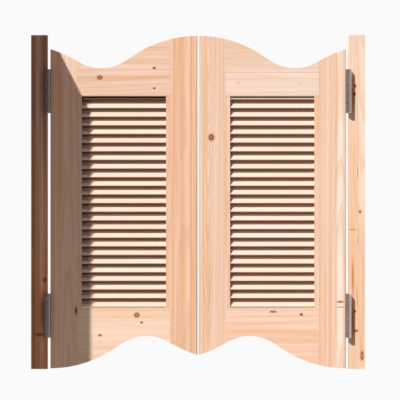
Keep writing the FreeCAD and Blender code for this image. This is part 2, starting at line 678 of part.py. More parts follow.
def make_barrel_contents(line, x, y, turn):
    """Spindles, bushes, springs, collars, caps and stop pins of the two barrels in one line."""
    rod = "Sizes.spindle_radius"
    rod_bore = "(Sizes.spindle_radius + Sizes.spindle_clearance)"
    bush = f"({BORE} - Sizes.bush_clearance)"

    spindles = new_barrel_pair(f"{line}_spindles", x, y, turn)
    low, high = "(Sizes.bottom_cap - Sizes.cap_socket)", f"({COLLAR_TOP} + Sizes.cap_socket)"
    add_sleeve(spindles, "0", rod, low, high)
    finish_pair(spindles)

    bushes = new_barrel_pair(f"{line}_bushes", x, y, turn)
    add_sleeve(bushes, rod_bore, bush, "Sizes.bottom_cap", LOWER_BUSH_TOP)
    spigot_bore = "(Sizes.spigot_radius + Sizes.spindle_clearance)"
    add_sleeve(bushes, spigot_bore, bush, SPIGOT_BOTTOM, f"({COLLAR_BOTTOM} - Sizes.pin_room)")
    finish_pair(bushes)

    springs = new_barrel_pair(f"{line}_springs", x, y, turn)
    spring_bottom = f"({LOWER_BUSH_TOP} + Sizes.spring_end_gap)"
    spring_top = f"({SPIGOT_BOTTOM} - Sizes.spring_end_gap)"
    coil_inside = "(Sizes.spring_radius - Sizes.spring_wire)"
    add_sleeve(springs, coil_inside, "Sizes.spring_radius", spring_bottom, spring_top)
    finish_pair(springs)

    collars = new_barrel_pair(f"{line}_tension_collars", x, y, turn)
    add_turned(collars, [
        (rod_bore, SPIGOT_BOTTOM),
        ("Sizes.spigot_radius", SPIGOT_BOTTOM),
        ("Sizes.spigot_radius", COLLAR_BOTTOM),
        ("Sizes.barrel_radius", COLLAR_BOTTOM),
        ("Sizes.barrel_radius", COLLAR_TOP),
        (rod_bore, COLLAR_TOP),
    ])
    sketch = new_sketch(collars, "XZ_Plane", z="(Sizes.pin_inner_end - Sizes.pin_clearance)")
    draw_circle(sketch, "0", COLLAR_BOTTOM, NOTCH_RADIUS)
    pocket(collars, sketch, "Sizes.barrel_radius", reverse=True)
    sketch = new_sketch(collars, "XZ_Plane", z="(Sizes.barrel_radius - Sizes.key_hole_depth)")
    draw_circle(sketch, "0", f"({COLLAR_BOTTOM} + Sizes.key_hole_height)", NOTCH_RADIUS)
    key_hole = pocket(collars, sketch, "Sizes.barrel_radius", reverse=True)
    ring = collars.newObject("PartDesign::PolarPattern", "PolarPattern")
    ring.Originals = [key_hole]
    ring.Axis = (origin_feature(collars, "Z_Axis"), [""])
    ring.Angle = 360
    ring.setExpression("Occurrences", "Sizes.key_hole_count")
    collars.Tip = ring
    finish_pair(collars)

    caps = new_barrel_pair(f"{line}_end_caps", x, y, turn)
    rim = "(Sizes.barrel_radius - Sizes.cap_edge)"
    add_turned(caps, [
        ("0", "0"),
        (rim, "0"),
        ("Sizes.barrel_radius", "Sizes.cap_edge"),
        ("Sizes.barrel_radius", "Sizes.bottom_cap"),
        (rod_bore, "Sizes.bottom_cap"),
        (rod_bore, f"({low} - Sizes.spindle_clearance)"),
        ("0", f"({low} - Sizes.spindle_clearance)"),
    ])
    add_turned(caps, [
        ("0", f"({high} + Sizes.spindle_clearance)"),
        (rod_bore, f"({high} + Sizes.spindle_clearance)"),
        (rod_bore, COLLAR_TOP),
        ("Sizes.barrel_radius", COLLAR_TOP),
        ("Sizes.barrel_radius", "(Sizes.hinge_height - Sizes.cap_edge)"),
        (rim, "Sizes.hinge_height"),
        ("0", "Sizes.hinge_height"),
    ])
    finish_pair(caps)

    pins = new_barrel_pair(f"{line}_stop_pins", x, y, turn)
    sketch = new_sketch(pins, "XZ_Plane", z="Sizes.pin_inner_end")
    draw_circle(sketch, "0", COLLAR_BOTTOM, "Sizes.pin_radius")
    pad(pins, sketch, "Sizes.pin_length")
    finish_pair(pins)


def make_screws(side, x, y, turn):
    """Countersunk screws through one leaf of the lower hinge, and again in the upper one."""
    screws = new_body(f"left_{side}_leaf_screws", x, y, "Sizes.lower_hinge_z", turn)
    face = "Sizes.plate_thickness / 2"
    sketch = new_sketch(
        screws,
        "XZ_Plane",
        y="Sizes.hinge_height / 2 - Sizes.screw_row",
        z="-(Sizes.barrel_offset - Sizes.screw_column)",
    )
    draw_polygon(sketch, [
        (face, "0"),
        (face, "Sizes.screw_head_radius"),
        (f"{face} - (Sizes.screw_head_radius - Sizes.screw_radius)", "Sizes.screw_radius"),
        (f"{face} - Sizes.screw_length + Sizes.screw_tip", "Sizes.screw_radius"),
        (f"{face} - Sizes.screw_length", "0"),
    ])
    screw = turn_profile(screws, sketch, "H_Axis")
    repeat(screws, screw, "Y_Axis", "2 * Sizes.screw_column")
    repeat(screws, None, "Z_Axis", "2 * Sizes.screw_row")
    finish_pair(screws)


# ---- the model ---------------------------------------------------------------------------------

make_jamb_strip()
make_stiles()
make_rails()
make_carriers()
make_slats()
make_dowels()
for hinge, hinge_z in HINGES:
    for _, side, axis_x, axis_y, turn in BARRELS:
        make_leaf(f"left_{hinge}_{side}_leaf", axis_x, axis_y, hinge_z, turn)
    make_web(f"left_{hinge}_web", hinge_z)
for line, side, axis_x, axis_y, turn in BARRELS:
    make_barrel_contents(line, axis_x, axis_y, turn)
    make_screws(side, axis_x, axis_y, turn)
doc.recompute()

for body in list(sub_parts):
    mirrored = doc.addObject("Part::Mirroring", body.Label.replace("left_", "right_"))
    mirrored.Label = body.Label.replace("left_", "right_")
    mirrored.Source = body
    mirrored.Normal = FreeCAD.Vector(1, 0, 0)
    sub_parts.append(mirrored)
doc.recompute()

# ---- checks and export -------------------------------------------------------------------------

failed = [o.Name for o in doc.Objects if "Invalid" in o.State or "Error" in o.State]
if failed:
    raise RuntimeError(f"features failed: {failed}")
loose = [o.Name for o in doc.Objects if o.isDerivedFrom("Sketcher::SketchObject") and not o.FullyConstrained]
if loose:
    raise RuntimeError(f"sketches not fully constrained: {loose}")
os.makedirs("parts", exist_ok=True)
for piece in sub_parts:
    shape = piece.Shape
    if shape.isNull() or not shape.isValid() or not shape.Solids:
        raise RuntimeError(f"{piece.Label} has no valid solid")
    shape.exportStep(f"parts/{piece.Label}.step")
    print(f"{piece.Label}: {len(shape.Solids)} solid(s), {shape.Volume:.1f} mm3")
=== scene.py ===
import math

import bmesh
import bpy
from mathutils import Matrix, Vector


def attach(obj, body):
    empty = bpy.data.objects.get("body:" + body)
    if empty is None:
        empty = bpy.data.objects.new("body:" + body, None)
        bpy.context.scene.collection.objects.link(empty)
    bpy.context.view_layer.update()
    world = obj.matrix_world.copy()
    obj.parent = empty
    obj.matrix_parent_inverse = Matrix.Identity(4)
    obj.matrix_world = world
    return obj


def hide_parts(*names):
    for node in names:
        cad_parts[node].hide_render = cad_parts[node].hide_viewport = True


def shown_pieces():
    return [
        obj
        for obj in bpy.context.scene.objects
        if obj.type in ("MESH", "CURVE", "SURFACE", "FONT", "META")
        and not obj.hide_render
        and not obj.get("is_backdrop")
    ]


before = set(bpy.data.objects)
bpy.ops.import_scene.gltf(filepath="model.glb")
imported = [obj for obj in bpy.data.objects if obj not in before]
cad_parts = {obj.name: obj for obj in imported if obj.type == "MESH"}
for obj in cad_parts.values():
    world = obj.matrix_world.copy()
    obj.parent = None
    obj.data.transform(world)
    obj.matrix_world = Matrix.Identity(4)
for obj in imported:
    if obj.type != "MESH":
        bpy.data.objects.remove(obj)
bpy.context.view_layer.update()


# ---- Jamb strips --------------------------------------------------------------------------------
# Two planed pine boards that stand on edge against the walls of the opening. Each is held by
# three countersunk wall screws, and the grain runs upright. The left board is darker and redder,
# which is painted shade, and dark streaks beside the hinges on both boards are painted shade.


class Reading:
    """A number that varies over a surface; sums and products on it add Math nodes."""

    def __init__(self, finish, socket):
        self.finish = finish
        self.socket = socket

    def maths(self, operation, *values):
        return self.finish.node("ShaderNodeMath", {"operation": operation}, dict(enumerate(values)))

    def __add__(self, other):
        return self.maths("ADD", self, other)

    __radd__ = __add__

    def __sub__(self, other):
        return self.maths("SUBTRACT", self, other)

    def __rsub__(self, other):
        return self.maths("SUBTRACT", other, self)

    def __mul__(self, other):
        return self.maths("MULTIPLY", self, other)

    __rmul__ = __mul__

    def __truediv__(self, other):
        return self.maths("DIVIDE", self, other)

    def __rtruediv__(self, other):
        return self.maths("DIVIDE", other, self)

    def __pow__(self, other):
        return self.maths("POWER", self, other)

    def __rpow__(self, other):
        return self.maths("POWER", other, self)

    def __abs__(self):
        return self.maths("ABSOLUTE", self)

    def floor(self):
        return self.maths("FLOOR", self)

    def fraction(self):
        return self.maths("FRACT", self)

    def root(self):
        return self.maths("SQRT", self)

    def at_most(self, most):
        return self.maths("MINIMUM", self, most)


class Finish:
    """A material under construction, with one principled shader."""

    def __init__(self, name, roughness, metallic=0.0, specular=0.5):
        self.material = bpy.data.materials.new(name)
        self.material.use_nodes = True
        self.tree = self.material.node_tree
        self.shader = self.tree.nodes["Principled BSDF"]
        self.shader.inputs["Roughness"].default_value = roughness
        self.shader.inputs["Metallic"].default_value = metallic
        self.shader.inputs["Specular IOR Level"].default_value = specular

    def node(self, kind, settings, sockets, out=0):
        """One node: its settings first, then the values or links of its sockets."""
        made = self.tree.nodes.new(kind)
        for name, setting in settings.items():
            setattr(made, name, setting)
        for place, given in sockets.items():
            if isinstance(given, Reading):
                self.tree.links.new(given.socket, made.inputs[place])
            else:
                made.inputs[place].default_value = given
        return Reading(self, made.outputs[out])

    def place(self):
        """Object coordinates as three readings, in millimetres."""
        spot = self.node("ShaderNodeTexCoord", {}, {}, "Object")
        return [self.node("ShaderNodeSeparateXYZ", {}, {0: spot}, axis) * 1000 for axis in "XYZ"]

    def noise(self, x, y, z, detail=2.0, roughness=0.5):
        """A cloudy number about 0.5; what the coordinates are multiplied by sets its grain."""
        spot = self.node("ShaderNodeCombineXYZ", {}, {0: x, 1: y, 2: z})
        sockets = {"Vector": spot, "Scale": 1.0, "Detail": detail, "Roughness": roughness}
        return self.node("ShaderNodeTexNoise", {}, sockets, "Fac")

    def ease(self, reading, low, high, start=0.0, end=1.0):
        """A smooth step of a reading between low and high."""
        settings = {"interpolation_type": "SMOOTHSTEP"}
        sockets = {0: reading, 1: low, 2: high, 3: start, 4: end}
        return self.node("ShaderNodeMapRange", settings, sockets)

    def blend(self, share, under, over):
        """A colour between two others."""
        return self.node(
            "ShaderNodeMix", {"data_type": "RGBA"}, {0: share, 6: under, 7: over}, "Result"
        )

    def scale(self, colour, brightness):
        """A colour times a number that varies."""
        spread = self.node("ShaderNodeCombineXYZ", {}, dict.fromkeys(range(3), brightness))
        return self.node("ShaderNodeVectorMath", {"operation": "MULTIPLY"}, {0: colour, 1: spread})

    def feed(self, socket, reading):
        self.tree.links.new(reading.socket, self.shader.inputs[socket])

    def relief(self, height, distance, strength):
        """Bumps where the height varies, with a distance in metres for one unit of height."""
        sockets = {"Height": height, "Distance": distance, "Strength": strength}
        self.feed("Normal", self.node("ShaderNodeBump", {}, sockets))


PALE_PINE = (0.865, 0.585, 0.445)
TAN_PINE = (0.81, 0.485, 0.29)
PALE_LINE = (0.89, 0.645, 0.515)
TAN_LINE = (0.79, 0.465, 0.275)
LATE_WOOD = (0.735, 0.415, 0.24)
KNOT_HALO = (0.66, 0.25, 0.11)
KNOT_CORE = (0.16, 0.035, 0.014, 1)
END_GRAIN_AND_TOP_SHADE = 0.26
GRAIN_RELIEF = 0.00004


def pine(
    name,
    grain,
    heart,
    tint,
    seed,
    knots=(),
    streaks=(),
    rings=3.4,
    figure=1.0,
    turn=None,
    tone_and_shade=None,
):
    """Planed pine: growth rings about a heart line, streaks along the grain, and knots.

    The heart is the log's centre line, in millimetres: its place across, behind and along the
    board, and how far it leans across and behind for each millimetre along. A knot is (across,
    along, half width, half length, darkness). A streak is (across, along, half width, half
    length, colour, share), and a last number leans it. The tint is a board's own red, green and
    blue against plain pine, rings is the width of one year's growth, and figure is how strongly
    the colour changes across the grain. Some tints and streaks are painted shade and painted
    light, as marked where they are given. The two last serve the slats: turn gives each its own
    grain, and tone_and_shade adds each slat's own tone and its painted shade.
    """
    finish = Finish(name, roughness=0.5, specular=0.35)
    x, y, z = finish.place()
    along, across = (z, x) if grain == "upright" else (x, z)
    if turn is not None:
        across, seed = turn(finish, across, y, seed)

    # How far a point lies from the heart line, which wanders a little along the log.
    drift = finish.noise(across * 0.012 + seed, y * 0.012, along * 0.0013, detail=1)
    bend = finish.noise(across * 0.05, y * 0.05 + seed, along * 0.004, detail=2)
    wide = across - heart[0] - (along - heart[2]) * heart[3]
    deep = y - heart[1] - (along - heart[2]) * heart[4] + (drift - 0.5) * 12
    radius = (wide * wide + deep * deep) ** 0.5 + (bend - 0.5) * 4

    # Each knot darkens the wood, reddens it all round and pushes the rings aside.
    dark, blush, pull = 0.0, 0.0, 0.0
    for middle, level, half_width, half_length, depth in knots:
        side = (across - middle + y * 0.16) / half_width
        rise = (along - level) / half_length
        away = (side * side + rise * rise) ** 0.5 + (bend - 0.5) * 0.8
        core = finish.ease(away, 0.7, 1.1, 1, 0)
        rim = finish.ease(away, 0.55, 0.95) * finish.ease(away, 1.0, 1.45, 1, 0)
        dark = dark + (core * depth + rim * 0.9)
        blush = blush + finish.ease(away, 0.9, 2.5, 0.95, 0)
        pull = pull + finish.ease(away, 0.4, 4.0, min(half_width, 6) * 1.2, 0)
    radius = radius + pull

    # Late wood closes each year's ring; hue, line and fibre change slowly, finely and finest.
    year = (radius / rings).fraction()
    late = finish.ease(year, 0.45, 0.9) * finish.ease(year, 0.92, 1.0, 1, 0)
    vigour = finish.noise(radius * 0.05, seed, 3.0, detail=1)
    hue = finish.noise(across * 0.042 + seed, y * 0.042 + 5, along * 0.0007, detail=1)
    line = finish.noise(across * 0.15 + seed, y * 0.15, along * 0.0014, detail=3, roughness=0.55)
    fibre = finish.noise(across * 1.6, y * 1.6, along * 0.035 + seed, detail=3, roughness=0.65)

    def stain(colour):
        """A pine colour with the board's own tint."""
        return (*(part * own for part, own in zip(colour, tint)), 1)

    # The colours, from the ground up to the knots, and last a darker tone on faces that look up or
    # down: the sawn ends of upright boards, and on every top also painted shade.
    warm = finish.ease(hue, 0.36, 0.64, 0.5 - figure / 2, 0.5 + figure / 2)
    wood = finish.blend(warm, stain(PALE_PINE), stain(TAN_PINE))
    pale_lines = finish.ease(line, 0.44, 0.64, 0, figure * 0.75)
    wood = finish.blend(pale_lines, wood, stain(PALE_LINE))
    tan_lines = finish.ease(line, 0.5, 0.34, 0, figure * 0.65)
    wood = finish.blend(tan_lines, wood, stain(TAN_LINE))
    for middle, level, half_width, half_length, colour, share, *lean in streaks:
        rise = (along - level) / half_length
        side = (across - middle) / half_width + (drift - 0.5) * 1.2
        if lean:
            side = side - (along - level) * (lean[0] / half_width)
        away = (side * side + rise * rise) ** 0.5
        wood = finish.blend(finish.ease(away, 0.3, 1.15, share, 0), wood, stain(colour))
    wood = finish.blend(late * (0.1 + vigour * 0.55) * figure, wood, stain(LATE_WOOD))
    if knots:
        wood = finish.blend(blush.at_most(0.8), wood, stain(KNOT_HALO))
        wood = finish.blend(dark.at_most(0.95), wood, KNOT_CORE)
    facing = finish.node("ShaderNodeNewGeometry", {}, {}, "Normal")
    upward = finish.node("ShaderNodeSeparateXYZ", {}, {0: facing}, "Z")
    # Faces that look up or down are darker: end grain on upright boards, and painted shade on tops.
    end_grain_and_top = finish.ease(abs(upward), 0.75, 0.95, 0, 0.0 if turn else END_GRAIN_AND_TOP_SHADE)
    wood = finish.scale(wood, (0.93 + fibre * 0.14) * (1 - end_grain_and_top))
    if tone_and_shade:
        wood = tone_and_shade(finish, wood)
    finish.feed("Base Color", wood)
    finish.feed("Roughness", 0.46 + fibre * 0.16 - late * 0.06)
    finish.relief(fibre * 0.5 + late * 0.5, GRAIN_RELIEF, 0.6)
    return finish.material


def ease_edges(name, width):
    """Take a board's sharp edges off, as with a stroke of sandpaper."""
    board = bpy.data.objects[name]
    weld = board.modifiers.new("joined", "WELD")
    weld.merge_threshold = 1e-6
    bevel = board.modifiers.new("sanded", "BEVEL")
    bevel.width = width
    bevel.segments = 2
    bevel.limit_method = "ANGLE"
    bevel.angle_limit = math.radians(50)


def dress(name, material):
    """Give a CAD node its finish."""
    slots = bpy.data.objects[name].data.materials
    slots.clear()
    slots.append(material)


JAMB_SANDING = 0.0009  # metres
THROUGH = 2000  # millimetres, half the length of a streak that runs through a whole board

JAMB_BOARDS = {
    "left_jamb_strip": dict(
        heart=(-452, 60, 300, 0.004, 0.012),
        # This darker, redder tint is painted shade, on top of the shade the cloth casts.
        tint=(0.76, 0.55, 0.45),
        seed=3.1,
        knots=[(-415, 240.5, 2.9, 4.4, 0.6)],
        streaks=[
            # Painted shade: the first streak darkens the top of the board.
            (-428, 820, 60, 300, (0.52, 0.43, 0.43), 0.8),
            (-428, 100, 60, 330, (0.84, 0.39, 0.165), 0.75),
            (-443, 450, 5, THROUGH, (0.44, 0.22, 0.13), 0.85),
            (-431, 800, 6, 300, (1.0, 0.74, 0.58), 0.85),
            (-421, 300, 7, 420, (1.1, 0.87, 0.70), 0.9),
            # The next two dark streaks lie beside the upper and lower hinge barrels: painted shade,
            # the first also a dark line in the grain.
            (-413, 780, 7, 320, (0.40, 0.22, 0.15), 0.85),
            (-419, 150, 9, 72, (0.48, 0.20, 0.09), 0.9),
            (-428, 93, 17, 6, (0.30, 0.10, 0.04), 0.95),
            (-424, 78, 15, 11, (1.0, 0.52, 0.28), 0.9),
        ],
    ),
    "right_jamb_strip": dict(
        heart=(452, 66, 500, -0.003, -0.015),
        tint=(1.06, 1.07, 1.08),
        seed=8.4,
        knots=[
            (434.5, 424, 2.4, 2.9, 0.5),
            (439.7, 36, 3.2, 9.0, 0.2),
            (418.0, 741, 3.8, 4.6, 0.9),
            (421.0, 763, 2.4, 3.8, 0.8),
            (420.0, 155, 2.6, 3.0, 0.7),
            (422.5, 103.3, 4.6, 2.4, 0.7),
        ],
        streaks=[
            (432, 190, 26, 260, (0.77, 0.455, 0.255), 0.75),
            (432, 800, 30, 260, (0.80, 0.60, 0.46), 0.6),
            (418, 245, 4.0, 70, (0.52, 0.21, 0.09), 0.95),
            (433.4, 432, 1.0, 17, (0.45, 0.22, 0.12), 0.9),
            (430.5, 610, 1.6, 290, (0.48, 0.29, 0.18), 0.5),
            (430.5, 530, 1.8, 26, (0.36, 0.21, 0.13), 0.8),
            (430.0, 349, 1.8, 14, (0.36, 0.21, 0.13), 0.8),
            (429, 195, 1.7, 45, (0.44, 0.23, 0.12), 0.9),
            (443.5, 250, 1.8, 240, (0.50, 0.29, 0.18), 0.85),
            (439, 66, 2.0, 40, (0.60, 0.30, 0.15), 0.7),
            # The next two dark red streaks are painted shade, deepening the hinge barrels' cast
            # shadows.
            (417, 134, 9, 68, (0.46, 0.19, 0.09), 0.95),
            (417, 740, 9, 68, (0.46, 0.19, 0.09), 0.95),
            (411, 450, 4, THROUGH, (0.80, 0.50, 0.30), 0.5),
            (442, 600, 7, 500, (0.90, 0.66, 0.48), 0.6),
            (418.6, 376, 13, 2.4, (0.55, 0.20, 0.09), 1.0),
        ],
    ),
}
for board, looks in JAMB_BOARDS.items():
    dress(board, pine(f"pine_{board}", "upright", **looks))
    ease_edges(board, JAMB_SANDING)


# ---- Stiles -------------------------------------------------------------------------------------
# The upright boards of each door, planed pine with the grain upright. Their ends are sawn to the
# door's wave, and they are doweled and glued to the rails. The meeting stiles are the free edges.

DOOR_SANDING = 0.0007  # metres

STILE_BOARDS = {
    "left_hinge_stile": dict(
        heart=(-350, 50, 400, 0.004, 0.014),
        tint=(1.00, 0.91, 0.885),
        seed=12.7,
        knots=[(-329.7, 157, 3.4, 7.5, 0.85)],
        streaks=[
            # Painted light: this lighter streak at the foot of the board lies in the cloth's shade.
            (-360, 100, 70, 380, (0.96, 0.65, 0.46), 0.75),
            (-332, 850, 34, 110, (0.84, 0.66, 0.50), 0.8),
            (-319, 450, 8, THROUGH, (0.78, 0.42, 0.22), 0.75),
            (-353, 450, 11, THROUGH, (0.90, 0.66, 0.54), 0.7),
            (-390, 450, 5, THROUGH, (0.78, 0.46, 0.27), 0.5),
        ],
    ),
    "left_meeting_stile": dict(
        heart=(-34, 74, 250, -0.003, 0.01),
        tint=(0.96, 0.90, 0.86),
        seed=17.2,
        streaks=[
            (-45.5, 450, 8, THROUGH, (0.80, 0.47, 0.26), 0.75),
            (-30, 450, 5, THROUGH, (0.90, 0.67, 0.53), 0.7),
            (-19, 450, 2.4, THROUGH, (0.74, 0.40, 0.21), 0.85),
            (-12, 300, 4, 500, (0.82, 0.50, 0.30), 0.6),
            # Painted shade: the dark line down the free edge, which faces away from the key light.
            (-3.4, 450, 2.4, THROUGH, (0.46, 0.30, 0.22), 0.85),
        ],
    ),
    "right_meeting_stile": dict(
        heart=(25, 12.6, 131, 0.004, -0.03),
        tint=(0.97, 0.98, 1.00),
        seed=21.9,
        figure=1.3,
        knots=[(33.7, 624.5, 5.6, 6.2, 0.5)],
        streaks=[
            (60, 450, 9, THROUGH, (0.83, 0.53, 0.36), 0.7),
            (34.5, 540, 0.9, 80, (0.60, 0.33, 0.19), 0.6),
            (14, 200, 6, 260, (0.80, 0.46, 0.25), 0.6),
            (32, 205, 1.3, 75, (0.60, 0.34, 0.18), 0.85, 0.09),
            (17.5, 200, 1.3, 80, (0.60, 0.34, 0.18), 0.75, -0.13),
        ],
    ),
    "right_hinge_stile": dict(
        heart=(382, 42, 500, -0.004, 0.012),
        tint=(1.00, 0.99, 0.98),
        seed=29.3,
        knots=[(314.6, 183, 6.5, 10.0, 0.1)],
        streaks=[
            (382, 450, 10, THROUGH, (0.94, 0.77, 0.65), 0.95),
            (336, 450, 7, THROUGH, (0.84, 0.55, 0.39), 0.6),
            (358, 500, 4, 700, (0.78, 0.46, 0.27), 0.5),
            (384, 181, 13, 4.2, (0.45, 0.13, 0.05), 1.0),
            (385, 167, 14, 2.4, (0.55, 0.22, 0.10), 0.9),
            (338.6, 123.5, 2.2, 2.6, (0.62, 0.32, 0.20), 0.7),
            # Painted shade: the dark line down the outer edge, which faces away from the key light.
            (397.2, 450, 1.8, THROUGH, (0.46, 0.34, 0.28), 0.85),
        ],
    ),
}
for board, looks in STILE_BOARDS.items():
    dress(board, pine(f"pine_{board}", "upright", **looks))
    ease_edges(board, DOOR_SANDING)


# ---- Rails --------------------------------------------------------------------------------------
# The level boards between the stiles, planed pine with the grain level, sawn to the wave. They
# lie flush with the stiles, so that only a fine line and the turn of the grain show the joint.

RAIL_RINGS = 7.4  # millimetres

RAIL_BOARDS = {
    "left_top_rail": dict(
        heart=(800, 40, -200, 0.02, 0.012),
        tint=(0.95, 0.95, 0.96),
        seed=31.4,
        figure=0.9,
        knots=[
            (783.2, -265, 4.2, 5.6, 0.35),
            (808.8, -118, 2.2, 2.8, 0.8),
            (754.3, -117.8, 2.0, 2.6, 0.7),
        ],
        streaks=[
            (752, -196, 20, THROUGH, (0.88, 0.61, 0.49), 0.5),
            (786.5, -150, 6, THROUGH, (0.78, 0.44, 0.25), 0.6),
            # Painted shade: the dark line along the lower edge, over the slats.
            (734.8, -196, 2.8, THROUGH, (0.30, 0.17, 0.11), 0.9),
        ],
    ),
    "left_bottom_rail": dict(
        heart=(100, 46, -180, 0.02, 0.02),
        tint=(1.03, 1.10, 1.17),
        seed=36.8,
        figure=0.65,
        knots=[
            (143.2, -165.3, 4.6, 4.9, 0.3),
            (123.2, -152.3, 2.0, 2.8, 0.7),
            (88.7, -264, 2.2, 3.2, 0.6),
        ],
        streaks=[
            # Painted light: this lighter, redder patch lies in the cloth's shade.
            (100, -308, 90, 24, (0.96, 0.61, 0.405), 0.9),
            (130.8, -292, 2.2, 4.0, (0.74, 0.42, 0.26), 0.6),
        ],
    ),
    "right_top_rail": dict(
        heart=(790, 52, 200, -0.015, 0.01),
        tint=(1.00, 1.13, 1.30),
        seed=41.6,
        figure=0.55,
        streaks=[
            (852, 120, 54, 500, (0.785, 0.45, 0.27), 0.85),
            (762, 196, 26, THROUGH, (0.865, 0.565, 0.405), 0.7),
            (858.5, 120, 2.2, THROUGH, (0.85, 0.54, 0.37), 0.7),
            (847, 120, 2.6, THROUGH, (0.85, 0.54, 0.37), 0.7),
            (799.6, 196, 2.2, THROUGH, (0.74, 0.42, 0.26), 0.7),
            (795, 196, 2.4, THROUGH, (0.88, 0.61, 0.45), 0.8),
            (771, 108.4, 4.0, 5.5, (0.62, 0.33, 0.20), 0.85),
            (769.7, 275, 3.4, 4.8, (0.62, 0.38, 0.26), 0.8),
            # Painted shade: the dark line along the lower edge, over the slats.
            (734.8, 196, 2.6, THROUGH, (0.38, 0.23, 0.15), 0.8),
        ],
    ),
    "right_bottom_rail": dict(
        heart=(110, 44, 200, 0.015, -0.012),
        tint=(1.03, 1.03, 1.03),
        seed=47.5,
        figure=0.85,
        knots=[(152.3, 202.7, 1.8, 6.0, 0.5), (144.8, 278.5, 2.4, 3.2, 0.9)],
    ),
}
for board, looks in RAIL_BOARDS.items():
    dress(board, pine(f"pine_{board}", "level", rings=RAIL_RINGS, **looks))
    ease_edges(board, DOOR_SANDING)


# ---- Slat carriers ------------------------------------------------------------------------------
# Narrow pine strips between each stile and the slats, glued in with the grain upright. Sloping
# blind slots, routed from the opening's side, hold the slat ends.

CARRIER_STRIPS = {
    "left_hinge_side_carrier": dict(heart=(-320, 58, 300, 0.002, 0.01), tint=(0.97, 0.94, 0.93)),
    "left_meeting_side_carrier": dict(heart=(-70, 66, 300, 0.002, 0.01), tint=(0.95, 0.90, 0.86)),
    "right_meeting_side_carrier": dict(heart=(84, 62, 300, -0.002, 0.01), tint=(0.97, 0.94, 0.93)),
    "right_hinge_side_carrier": dict(heart=(320, 54, 300, 0.002, 0.01), tint=(0.99, 0.97, 0.96)),
}
for count, (strip, looks) in enumerate(CARRIER_STRIPS.items()):
    dress(strip, pine(f"pine_{strip}", "upright", seed=52.0 + count * 3.2, **looks))


# ---- Slats --------------------------------------------------------------------------------------
# Twenty-five fixed slats to a door, thin round-edged pine at 45 degrees with the front edge low.
# Each is ripped from another piece of board, so its tone and grain differ from its neighbour's.

SLAT_PITCH = 23.3  # millimetres
FIRST_SLAT = 177.9
SLAT_RINGS = 3.0
SLAT_FIGURE = 0.35
DULLED_PINE = (0.80, 0.61, 0.45, 1)
# Painted shade on the front edge of the last slat, under the top rail.
UNDER_RAIL_SHADE = (0.06, 0.012, 0.006, 1)

# Where a painted shade starts and where it is full, in millimetres back from the door's middle
# plane or up from the foot of the jamb strips.
HIDDEN_HALF = (0.2, 5.0)
FRONT_EDGE = (-3, -6)
BEHIND_FRONT_EDGE = (-7.5, -5.5)
UNDER_TOP_RAIL = (722.5, 724.5)
OVER_BOTTOM_RAIL = (167.4, 165.4)


def slat_number(height, depth):
    """Which slat a point is on; the part after the point grows from lower face to upper face."""
    return (height - depth - FIRST_SLAT) / SLAT_PITCH + 0.5


def chance(finish, number, draw):
    """A number from 0 to 1 that is the same all over one slat."""
    settings = {"noise_dimensions": "1D"}
    return finish.node("ShaderNodeTexWhiteNoise", settings, {"W": number.floor() + draw}, "Value")


def slat_by_slat(finish, across, depth, seed):
    """Shift the grain of each slat to another part of the log."""
    shift = chance(finish, slat_number(across, depth), 0.0)
    return across + shift * 61, shift * 9 + seed


def tone_and_painted_shade(last, shade_colour, corner):
    """A tone of each slat's own, and painted shade on the slats.

    The slat above hides the upper half of each slat, and shade_colour is the shade painted there.
    The last slat stands close under the top rail, and last is how dark its front edge is painted;
    the front edge of the first slat is painted darker over the bottom rail. Painted shade also
    darkens one end of the slats, and corner is where it begins, where it is full, and its share.
    """
    start, full, share = corner

    def tone_and_shade(finish, wood):
        x, y, z = finish.place()
        number = slat_number(z, y)
        upper_face = finish.ease(number.fraction(), 0.46, 0.54, -1, 1)
        tone = finish.ease(chance(finish, number, 0.37), 0.2, 1.0, 0, 0.3)
        # Painted shade: the hidden half of each slat, the front edges of the last slat under the
        # top rail and of the first slat over the bottom rail, and one end of the slats.
        shaded_half = finish.ease(y * upper_face, *HIDDEN_HALF, 0, 0.9)
        under_rail = finish.ease(z, *UNDER_TOP_RAIL, 0, last) * finish.ease(y, *FRONT_EDGE)
        over_rail = finish.ease(z, *OVER_BOTTOM_RAIL, 0, 0.6) * finish.ease(y, *FRONT_EDGE)
        end_shade = finish.ease(x, start, full, 0, share) * finish.ease(y, *BEHIND_FRONT_EDGE)
        wood = finish.blend(tone, wood, DULLED_PINE)
        wood = finish.blend(shaded_half, wood, shade_colour)
        wood = finish.blend(under_rail, wood, UNDER_RAIL_SHADE)
        return finish.scale(wood, (1 - over_rail) * (1 - end_shade))

    return tone_and_shade


# The painted shade on each door's slats.
SLAT_PAINTED_SHADE = {
    "left_slats": dict(last=0.96, shade_colour=(0.17, 0.08, 0.048, 1), corner=(-286, -298, 0.45)),
    "right_slats": dict(last=0.3, shade_colour=(0.235, 0.118, 0.067, 1), corner=(93, 86, 0.4)),
}
SLAT_WOOD = {
    "left_slats": dict(heart=(700, 70, -180, 0.004, 0.01), tint=(0.93, 1.04, 1.21), seed=66.0),
    "right_slats": dict(heart=(700, 64, 180, 0.004, -0.01), tint=(0.95, 1.05, 1.23), seed=71.0),
}
for slats, looks in SLAT_WOOD.items():
    slat_pine = pine(
        f"pine_{slats}",
        "level",
        rings=SLAT_RINGS,
        figure=SLAT_FIGURE,
        turn=slat_by_slat,
        tone_and_shade=tone_and_painted_shade(**SLAT_PAINTED_SHADE[slats]),
        **looks,
    )
    dress(slats, slat_pine)


# ---- Dowels -------------------------------------------------------------------------------------
# Beech dowels, 10 mm thick, glued across the joints of rails and stiles. They lie level and stay
# hidden in the finished door.


